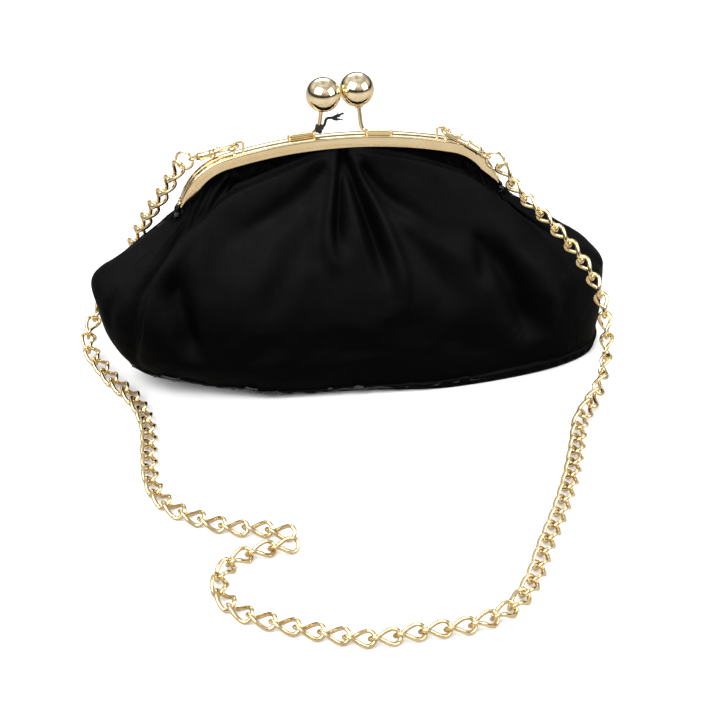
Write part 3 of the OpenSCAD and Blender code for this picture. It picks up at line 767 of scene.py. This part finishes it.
def skin(deg, t):
    """Smooth outer surface: deg goes round the bag, t down it, from 0 at the frame over 1 at the widest
    place to 2 at the base; below 0 it is inside the frame's channel."""
    a = np.radians(deg)
    c, s = np.cos(a), np.sin(a)
    # w is 0 on the panels and grows to 1 in the middle of a gusset; v runs the other way
    w = np.clip((np.abs(c) - COS_SIDE) / (1 - COS_SIDE), 0, 1)
    v = np.sqrt(1 - w)
    side = np.sign(c)
    rank = np.where(s < 0, -1.0, 1.0)
    x_panel = GUSSET_X * np.abs(c) / COS_SIDE
    x = np.where(w > 0, 104.5 - 5.5 * v * v, x_panel)
    y = rank * 4.15 * np.minimum(1, np.abs(v) / 0.45) ** 0.8
    z = np.where(w > 0, 116.5 + 6.1 * ease((v - 0.45) / 0.55), inner_z(np.minimum(x_panel, GUSSET_X)))
    p = np.stack([side * x, y, z], -1)
    # p under the frame, m at the widest place and f at the foot; q leads the curve out of p
    mx, my = rim(a, WIDE_LEFT, WIDE_RIGHT, 57, 52, 2.3)
    m = np.stack([mx, my, 54 + 6 * c * c], -1)
    fx, fy = base_rim(a)
    f = np.stack([fx, fy, 0.1 + lift(fx)], -1)
    soft = ease(1 - v)[..., None]
    q = p + np.stack([0 * x, rank, 0 * x - 10], -1) * (1 - soft) \
        + soft * np.stack([0.3 * (mx - p[..., 0]), 0.3 * (my - p[..., 1]), 0 * x - 10], -1)
    lead = np.where(c < 0, 44 - 20 * ease((-c - 0.55) / 0.37), 44 - 34 * ease((c - 0.55) / 0.37))
    tail = 26 - 14 * ease((-c - 0.5) / 0.5) + 3 * ease((c - 0.5) / 0.5)
    foot_lead = np.stack([0.75 * (mx - fx), 0.75 * (my - fy), 0 * x + 7], -1)
    tt = t[..., None]
    upper = bez(p, q, m + upright(lead), m, np.clip(tt, 0, 1))
    lower = bez(m, m - upright(tail), f + foot_lead, f, np.clip(tt - 1, 0, 1))
    return np.where(tt < 1, upper, lower) + upright(np.where(t < 0, -t * 3, 0))


def normals(grid):
    """Outward unit normal at each point of a grid of points."""
    du = np.gradient(grid, axis=0)
    dv = np.gradient(grid, axis=1)
    n = np.cross(dv, du)
    return n / np.maximum(np.linalg.norm(n, axis=-1), 1e-9)[..., None]


MM_PER_DEG, UPPER_LENGTH, LOWER_LENGTH = 2.25, 95, 75


def flat(deg, t):
    """Fold pattern coordinates in millimetres along the cloth."""
    t = np.asarray(t, float)
    down = np.where(t < 1, UPPER_LENGTH * t, UPPER_LENGTH + LOWER_LENGTH * (t - 1))
    return np.stack([(np.asarray(deg, float) - 270) * MM_PER_DEG, down], -1)


def polyline(points, here):
    """Signed distance to a line through (deg, t) points, and the share of its length passed."""
    line = flat(*curve_points(points, 5).T)
    best = np.full(here.shape[:-1], 1e9)
    sign = np.ones_like(best)
    along = np.zeros_like(best)
    lengths = np.concatenate([[0], np.cumsum(np.linalg.norm(np.diff(line, axis=0), axis=1))])
    for i in range(len(line) - 1):
        a, b = line[i], line[i + 1]
        ab = b - a
        h = np.clip(((here - a) @ ab) / (ab @ ab), 0, 1)
        gap = here - (a + h[..., None] * ab)
        d = np.linalg.norm(gap, axis=-1)
        closer = d < best
        best = np.where(closer, d, best)
        sign = np.where(closer, np.sign(ab[0] * gap[..., 1] - ab[1] * gap[..., 0]), sign)
        along = np.where(closer, (lengths[i] + h * np.linalg.norm(ab)) / lengths[-1], along)
    return best * np.where(sign == 0, 1, sign), along


def fold(here, points, width, height, head, foot):
    """Soft ridge (height above 0) or valley (below 0) that fades at both ends."""
    d, along = polyline(points, here)
    fade = ease(along / head) * ease((1 - along) / foot)
    return height * np.exp(-(d / width) ** 2) * fade


def pillow_edge(here, t, points, crest, sink, body_side):
    """Rolled edge of the front pillow: full on the body side, falling into a sunk band on the other."""
    reach, drop, band_width = 20.0, 8.0, 14.0
    d, along = polyline(points, here)
    d = d * body_side
    rise = crest * ease(along / 0.14 + 0.25) * ease((1 - along) / 0.3)
    depth = sink * ease(along / 0.14 + 0.25) * ease((1 - along) / 0.35)
    body = rise * np.exp(-(np.maximum(d, 0) / reach) ** 2)
    band = rise - (rise + depth) * ease(-d / drop)
    far = np.exp(-np.maximum(-d - band_width, 0) / band_width)
    return np.where(d > 0, body, band * far) * ease(t / 0.07)


LEFT_EDGE = [(268.5, 0.04), (262, 0.11), (253, 0.19), (239, 0.28), (232, 0.34), (227.5, 0.43), (221, 0.51),
             (218, 0.62), (217, 0.74), (217.5, 0.92), (216, 1.18), (211, 1.46), (205, 1.75)]
RIGHT_EDGE = [(271.5, 0.04), (280, 0.10), (290, 0.15), (298, 0.20), (309, 0.27), (316, 0.36), (324, 0.5),
              (331, 0.68), (335, 0.9)]
# each fold: (deg, t) points along it, width, height (valleys below 0), share of it that fades in and out
FOLDS = [
    # central inverted pleat
    ([(270, 0.02), (268.6, 0.2), (266.4, 0.4), (265.3, 0.56), (266.4, 0.68), (268.2, 0.76)],
     3.4, 4.6, 0.04, 0.15),
    ([(270.5, 0.02), (273, 0.22), (275.8, 0.42), (277.6, 0.6), (278.2, 0.76), (277, 0.92), (273.6, 1.0)],
     3.6, 6.0, 0.04, 0.12),
    ([(270.2, 0.02), (269.3, 0.2), (268.4, 0.38), (268.0, 0.56), (268.8, 0.69)], 2.9, -8.5, 0.05, 0.25),
    ([(270.6, 0.02), (272.0, 0.24), (273.6, 0.44), (274.6, 0.62), (274.8, 0.76), (273.6, 0.87)],
     3.6, -9.5, 0.05, 0.3),
    ([(270.4, 0.2), (271.2, 0.4), (271.4, 0.58), (271.2, 0.74)], 2.4, 2.2, 0.2, 0.3),
    # folds that fan out of the pleat
    ([(266, 0.16), (259, 0.34), (249, 0.46), (235, 0.58)], 7.0, -5.5, 0.15, 0.4),
    ([(265, 0.32), (259, 0.55), (254, 0.8), (251, 1.05)], 8, -3.6, 0.25, 0.4),
    ([(264, 0.36), (256, 0.6), (247, 0.85)], 8, 2.6, 0.25, 0.4),
    ([(275, 0.16), (279.5, 0.36), (285.5, 0.5), (293, 0.7)], 5.5, -5.5, 0.15, 0.4),
    ([(280, 0.5), (285, 0.74), (290, 1.0)], 7, -3.8, 0.25, 0.4),
    ([(281, 0.42), (289, 0.64), (296, 0.86)], 6, 2.6, 0.25, 0.4),
    # deep valleys under the two shoulders
    ([(221.5, 0.62), (225.5, 0.8), (230.5, 0.98), (232, 1.2), (233, 1.42)], 9.0, -9.5, 0.25, 0.35),
    ([(227, 0.56), (236, 0.8), (240, 1.1)], 9, 2.2, 0.25, 0.4),
    ([(299, 0.58), (302, 0.76), (304.5, 0.98), (308, 1.2), (311, 1.46)], 8.5, -9.5, 0.25, 0.35),
    ([(300.5, 0.6), (297.5, 0.76), (295, 0.9)], 4.5, -3.0, 0.2, 0.4),
    ([(308, 0.66), (314, 0.95), (318, 1.3)], 8, 2.6, 0.25, 0.4),
    # creases of the lower belly
    ([(270, 0.98), (268, 1.12), (271, 1.36)], 7, -2.2, 0.3, 0.4),
    ([(256, 1.0), (249, 1.25), (247, 1.45)], 8, -1.6, 0.3, 0.4),
    ([(286, 1.1), (291, 1.3), (300, 1.45)], 7, -1.6, 0.3, 0.4),
    # small gathers of the sunk band beside the left shoulder
    ([(238, 0.03), (234, 0.2), (230, 0.33)], 2.6, -2.4, 0.3, 0.3),
    ([(231, 0.04), (226, 0.22), (223, 0.4)], 3.0, 2.2, 0.3, 0.3),
    ([(222, 0.04), (216, 0.3), (210, 0.55)], 4.2, -1.6, 0.3, 0.4),
    ([(213, 0.05), (205, 0.4), (196, 0.8), (190, 1.1)], 7, 1.6, 0.3, 0.4),
    ([(205, 0.3), (198, 0.7), (196, 1.1), (198, 1.4)], 8, -2.6, 0.3, 0.4),
    # the far right end
    ([(330, 0.1), (340, 0.4), (347, 0.8), (350, 1.2)], 6, -2.6, 0.3, 0.4),
]


def front_folds(deg, t):
    here = flat(deg, t)
    d = pillow_edge(here, t, LEFT_EDGE, 5.5, 5.5, -1) + pillow_edge(here, t, RIGHT_EDGE, 4.5, 4.0, 1)
    for points, width, height, head, foot in FOLDS:
        d += fold(here, points, width, height, head, foot)
    # soft corner pushed out at the far left
    from_corner = np.linalg.norm((here - flat(178.0, 0.82)) / (22, 13), axis=-1)
    return d + 5.5 * np.exp(-from_corner ** 2)


def rear_folds(deg, t):
    """The back is gathered like the front, a little calmer."""
    return 0.75 * front_folds(360 - deg, t)


def gathers(deg, t):
    """Fine puckers where the cloth enters the frame and where it is sewn to the base."""
    across = (deg - 270) * MM_PER_DEG
    top = np.exp(-np.maximum(t, 0) / 0.09) * ease(t / 0.03)
    drift = 3 * np.sin(across / 31)
    ripple = np.sin(across * 2 * np.pi / 8.5 + drift) * (0.6 + 0.4 * np.sin(across / 13.7))
    foot = np.exp(-np.abs(t - 1.9) / 0.12) * ease((2 - t) / 0.04)
    hem = np.sin(across * 2 * np.pi / 13 + 2 * np.sin(across / 23))
    return 0.9 * top * ripple + 0.4 * foot * hem


def wrinkles(grid):
    out = np.zeros(grid.shape[:2])
    for i in range(grid.shape[0]):
        for j in range(grid.shape[1]):
            p = Vector(grid[i, j])
            out[i, j] = (1.1 * noise.noise(p / 34) + 0.55 * noise.noise(p / 15 + Vector((7, 3, 1)))
                         + 0.2 * noise.noise(p / 6.5 + Vector((1, 9, 4))))
    return out


ROWS_DOWN = np.concatenate([[-1.0, -0.4], np.linspace(0, 2, 110)])
HEM_ROWS = 2
NO_LIMIT = 400


def cloth_normals(grid):
    """Outward normals; the hem rows inside the channel take those of the row below them."""
    n = normals(grid)
    n[:, :HEM_ROWS] = n[:, HEM_ROWS:HEM_ROWS + 1]
    return n


def skin_grid(start, end, cols, folds):
    """Points of the folded cloth; near the frame the valleys stop short of the middle plane."""
    deg, t = np.meshgrid(np.linspace(start, end, cols), ROWS_DOWN, indexing="ij")
    base = skin(deg, t)
    d = np.where(t > 0, folds(deg, t) + gathers(deg, t) + wrinkles(base) * ease(t / 0.1), 0)
    d = d * ease((2 - t) / 0.1)
    beside = ease((np.abs(np.cos(np.radians(deg))) - COS_SIDE + 0.03) / 0.03)
    room = np.maximum(np.abs(base[..., 1]) - 1.8, 0) + NO_LIMIT * np.maximum(ease((t - 0.3) / 0.3), beside)
    return base + np.maximum(d, -room)[..., None] * cloth_normals(base)


def sheet(name, grid, material):
    cols, rows = grid.shape[:2]
    faces = []
    for i in range(cols - 1):
        for j in range(rows - 1):
            a = i * rows + j
            faces.append((a, a + 1, a + rows + 1, a + rows))
    return new_object(name, grid.reshape(-1, 3), faces, material)


PRESSURE, MOST_MOVE, SETTLE_FRAMES = 1.2, 3.0, 16


def drape(obj, pinned):
    """Lets the modelled cloth settle with Cloth; no point moves more than MOST_MOVE."""
    group = obj.vertex_groups.new(name="held")
    for index, weight in enumerate(pinned):
        if weight > 0:
            group.add([index], float(weight), "REPLACE")
    before = np.array([v.co[:] for v in obj.data.vertices])
    cloth = obj.modifiers.new("Cloth", "CLOTH")
    settings = cloth.settings
    settings.quality = 6
    settings.mass = 0.25
    settings.tension_stiffness = 12
    settings.compression_stiffness = 12
    settings.shear_stiffness = 4
    settings.bending_stiffness = 0.25
    settings.use_pressure = True
    settings.uniform_pressure_force = PRESSURE
    settings.vertex_group_mass = "held"
    settings.shrink_min = -0.012
    settings.effector_weights.gravity = 0.25
    cloth.collision_settings.use_collision = False
    for step in range(SETTLE_FRAMES):
        SCENE.frame_set(1 + step)
    depsgraph = bpy.context.evaluated_depsgraph_get()
    settled = obj.evaluated_get(depsgraph).to_mesh()
    after = np.array([v.co[:] for v in settled.vertices])
    obj.evaluated_get(depsgraph).to_mesh_clear()
    obj.modifiers.remove(cloth)
    obj.vertex_groups.clear()
    SCENE.frame_set(1)
    move = after - before
    size = np.linalg.norm(move, axis=1)
    limit = MOST_MOVE * MM
    move *= (limit * np.tanh(size / limit) / np.maximum(size, 1e-12))[:, None]
    return (before + move) / MM


FRONT, REAR = -1, 1
CLOTH_THICK, LINING_THICK, LINING_INSET = 1.1, 0.35, 1.75
HELD_COLS = 2


def own_side(grid, side, gap):
    """Keeps cloth between the two hinges on its own side of the middle plane."""
    out = grid.copy()
    between = np.abs(grid[..., 0]) < GUSSET_X - 4
    out[..., 1] = np.where(between, side * np.maximum(side * grid[..., 1], gap), grid[..., 1])
    return out


def outer_skin(name, side, start, end, cols, folds, replaced):
    """Outer cloth, and the points it was made of; the edges, the hem and the foot stay put as it settles."""
    grid = skin_grid(start, end, cols, folds)
    obj = sheet(name, grid, SATIN)
    held = np.maximum(1 - ease((ROWS_DOWN - 0.01) / 0.06), ease((ROWS_DOWN - 1.7) / 0.2))
    from_edge = np.minimum(np.arange(cols), np.arange(cols)[::-1])[:, None]
    held = np.where(from_edge < HELD_COLS, 1.0, held)
    grid = own_side(drape(obj, held.reshape(-1)).reshape(grid.shape), side, 1.7)
    obj.data.vertices.foreach_set("co", (grid * MM).reshape(-1))
    obj.data.update()
    thicken(obj, CLOTH_THICK)
    subdivide(obj)
    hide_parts(*replaced)
    return obj, grid


def lining_skin(name, side, outer, replaced):
    """Lining sheet a constant distance inside the outer cloth."""
    obj = sheet(name, own_side(outer - LINING_INSET * cloth_normals(outer), side, 0.2), LINING)
    thicken(obj, LINING_THICK)
    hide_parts(*replaced)
    return obj


OVERLAP = 1.2  # degrees that the rear cloth reaches over the seam of the gussets
front, cloth = outer_skin("pouch_front", FRONT, 180 - SIDE, 360 + SIDE, 300, front_folds,
                          ["front_panel", "left_gusset", "right_gusset"])
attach(front, "bag")
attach(lining_skin("lining_front", FRONT, cloth, ["front_lining", "left_lining", "right_lining"]), "bag")

rear, cloth = outer_skin("pouch_rear", REAR, SIDE - OVERLAP, 180 - SIDE + OVERLAP, 190, rear_folds,
                         ["rear_upper_panel", "rear_lower_panel"])
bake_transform(rear)
inside = lining_skin("lining_rear", REAR, cloth, ["rear_upper_lining", "rear_lower_lining"])
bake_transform(inside)


def base_sheet(name, node, inset, height, thick, material, slot_name):
    """Plate of the bottom that follows the lifted left end."""
    cols, rings, centre_x = 96, 12, 8.0
    verts = [(centre_x, 0, height + lift(centre_x))]
    angles = np.linspace(0, 2 * np.pi, cols, endpoint=False)
    x, y = base_rim(angles + 0.02, inset)
    for k in range(1, rings + 1):
        s = k / rings
        px, py = x * s + centre_x * (1 - s), y * s
        verts.extend(np.stack([px, py, height + lift(px)], -1))
    faces = [(0, 1 + j, 1 + (j + 1) % cols) for j in range(cols)] + ring_faces(rings, cols, 1)
    obj = solid_piece(name, (verts, faces), material, slot_name, "bag", node)
    thicken(obj, thick, 1 if obj.data.polygons[0].normal.z > 0 else -1)
    subdivide(obj)


base_sheet("pouch_base", "base_panel", 0.6, 0.15, 1.0, SATIN, "black_cloth")
base_sheet("stiffener", "base_board", 5, 1.5, 2.2, BOARD, "board")
base_sheet("lining_base", "base_lining", 5, 4.0, 0.4, LINING, "lining_cloth")


def stitches(name, line, body):
    """Row of sunk stitches along a line of points."""
    step, length = 4.2, 2.7
    gaps = np.linalg.norm(np.diff(line, axis=0), axis=1)
    where = np.concatenate([[0], np.cumsum(gaps)])
    parts = []
    for s in np.arange(step / 2, where[-1] - step, step):
        at = np.linspace(s, s + length, 5)
        pts = np.stack([np.interp(at, where, line[:, k]) for k in range(3)], -1)
        parts.append(tube_parts(pts, [0.12, 0.27, 0.3, 0.27, 0.12], 6))
    solid_piece(name, joined(parts), THREAD, "string", body)


seam_x, seam_y = base_rim(np.radians(np.linspace(0, 360, 400)), -0.25)
stitches("stitches_base", np.stack([seam_x, seam_y, 1.3 + lift(seam_x)], -1), "bag")


# ---- CAD nodes that stay: finishes only --------------------------------------------------------------
def finish_node(node, material):
    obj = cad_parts[node]
    obj.data.materials.clear()
    obj.data.materials.append(material)


for side in SIDES:
    for part in ("_swivel", "_ring", "_rivet"):
        finish_node(side + part, PALE)
    finish_node(side + "_spring", STEEL)
finish_node("front_cord", PAPER)
finish_node("rear_cord", PAPER)


# ---- stage: floor, light, camera -----------------------------------------------------------------
floor_mat, nodes, links, bsdf = node_material("floor_white")
coord = nodes.new("ShaderNodeTexCoord").outputs["Object"]
tone = noise_node(nodes, links, coord, 3, 2)
seen = mix_colour(nodes, links, ramp(nodes, links, tone, 0, 1), (0.93, 0.93, 0.935), (0.95, 0.95, 0.95))
# mirrored in cloth and metal, the floor is dimmer than it looks, as in a room with dark walls
is_glossy = nodes.new("ShaderNodeLightPath").outputs["Is Glossy Ray"]
links.new(mix_colour(nodes, links, is_glossy, seen, (0.42, 0.4, 0.37)), bsdf.inputs["Base Color"])
bsdf.inputs["Roughness"].default_value = 0.75
FLOOR_REACH, FLOOR_Z = 6000, -0.05
corners = [(x * FLOOR_REACH, y * FLOOR_REACH, FLOOR_Z) for x, y in ((-1, -1), (1, -1), (1, 1), (-1, 1))]
new_object("floor", corners, [(0, 1, 2, 3)], floor_mat)

world = bpy.data.worlds.new("studio")
SCENE.world = world
world.use_nodes = True
nodes, links = world.node_tree.nodes, world.node_tree.links
backdrop = nodes["Background"]
direction = nodes.new("ShaderNodeTexCoord").outputs["Generated"]
bands = nodes.new("ShaderNodeValToRGB")
# brightness from straight down (0) over the horizon (0.5) to straight up (1)
tones = [(0.0, 0.7), (0.47, 0.5), (0.515, 0.04), (0.575, 0.05), (0.65, 0.5), (0.8, 0.95), (1.0, 0.85)]
bands.color_ramp.elements[0].position = tones[0][0]
bands.color_ramp.elements[1].position = tones[-1][0]
for position, value in tones[1:-1]:
    bands.color_ramp.elements.new(position)
for element, (position, value) in zip(bands.color_ramp.elements, tones):
    element.color = (value, value, value, 1)
links.new(ramp(nodes, links, height_of(nodes, links, direction), 0, 1, -1, 1), bands.inputs["Fac"])
# shiny metal sees a darker room with a bright ceiling; everything else sees plain white
is_glossy = nodes.new("ShaderNodeLightPath").outputs["Is Glossy Ray"]
patches = ramp(nodes, links, noise_node(nodes, links, direction, 2.2, 1), 0, 1, 0.4, 0.6)
blotches = mix_colour(nodes, links, patches, (0.62, 0.6, 0.57), (1.15, 1.15, 1.15))
room = mix_colour(nodes, links, 1, bands.outputs["Color"], blotches, "MULTIPLY")
links.new(mix_colour(nodes, links, is_glossy, (1.0, 1.0, 1.0), room), backdrop.inputs["Color"])
backdrop.inputs["Strength"].default_value = 0.9


LIT_POINT = (0, 0, 0.08)


def area_light(name, place, size, power):
    data = bpy.data.lights.new(name, "AREA")
    data.shape = "RECTANGLE"
    data.size, data.size_y = size
    data.energy = power
    light = bpy.data.objects.new(name, data)
    SCENE.collection.objects.link(light)
    light.location = place
    light.rotation_euler = (Vector(LIT_POINT) - Vector(place)).to_track_quat("-Z", "Y").to_euler()


area_light("key", (-0.85, -0.75, 1.15), (1.3, 1.1), 24)
area_light("fill", (1.1, -0.75, 0.85), (1.0, 1.0), 13)
area_light("back", (0.1, 1.3, 1.2), (1.4, 0.7), 9)

AZIMUTH, ELEVATION, DISTANCE = math.radians(-9.94), math.radians(26.73), 1.2
PAN, TILT = 0.0099, 0.0545  # the object stands a little left of and above the middle of the picture
ORBIT_CENTRE = Vector((0, 0, 0.075))
level = Vector((math.sin(AZIMUTH), -math.cos(AZIMUTH), 0))
back = level * math.cos(ELEVATION) + Vector((0, 0, math.sin(ELEVATION)))
above = -level * math.sin(ELEVATION) + Vector((0, 0, math.cos(ELEVATION)))
right = Vector((math.cos(AZIMUTH), math.sin(AZIMUTH), 0))
aim = (-back + right * PAN - above * TILT).normalized()
cam_right = aim.cross(Vector((0, 0, 1))).normalized()
facing = Matrix((cam_right, cam_right.cross(aim), -aim)).transposed().to_4x4()
cam_data = bpy.data.cameras.new("camera")
cam_data.lens = 93.75
cam_data.sensor_width = 36
cam_data.clip_end = 50
camera = bpy.data.objects.new("camera", cam_data)
SCENE.collection.objects.link(camera)
camera.matrix_world = Matrix.Translation(ORBIT_CENTRE + back * DISTANCE) @ facing
SCENE.camera = camera
SCENE.view_settings.view_transform = "Standard"

bpy.context.view_layer.update()
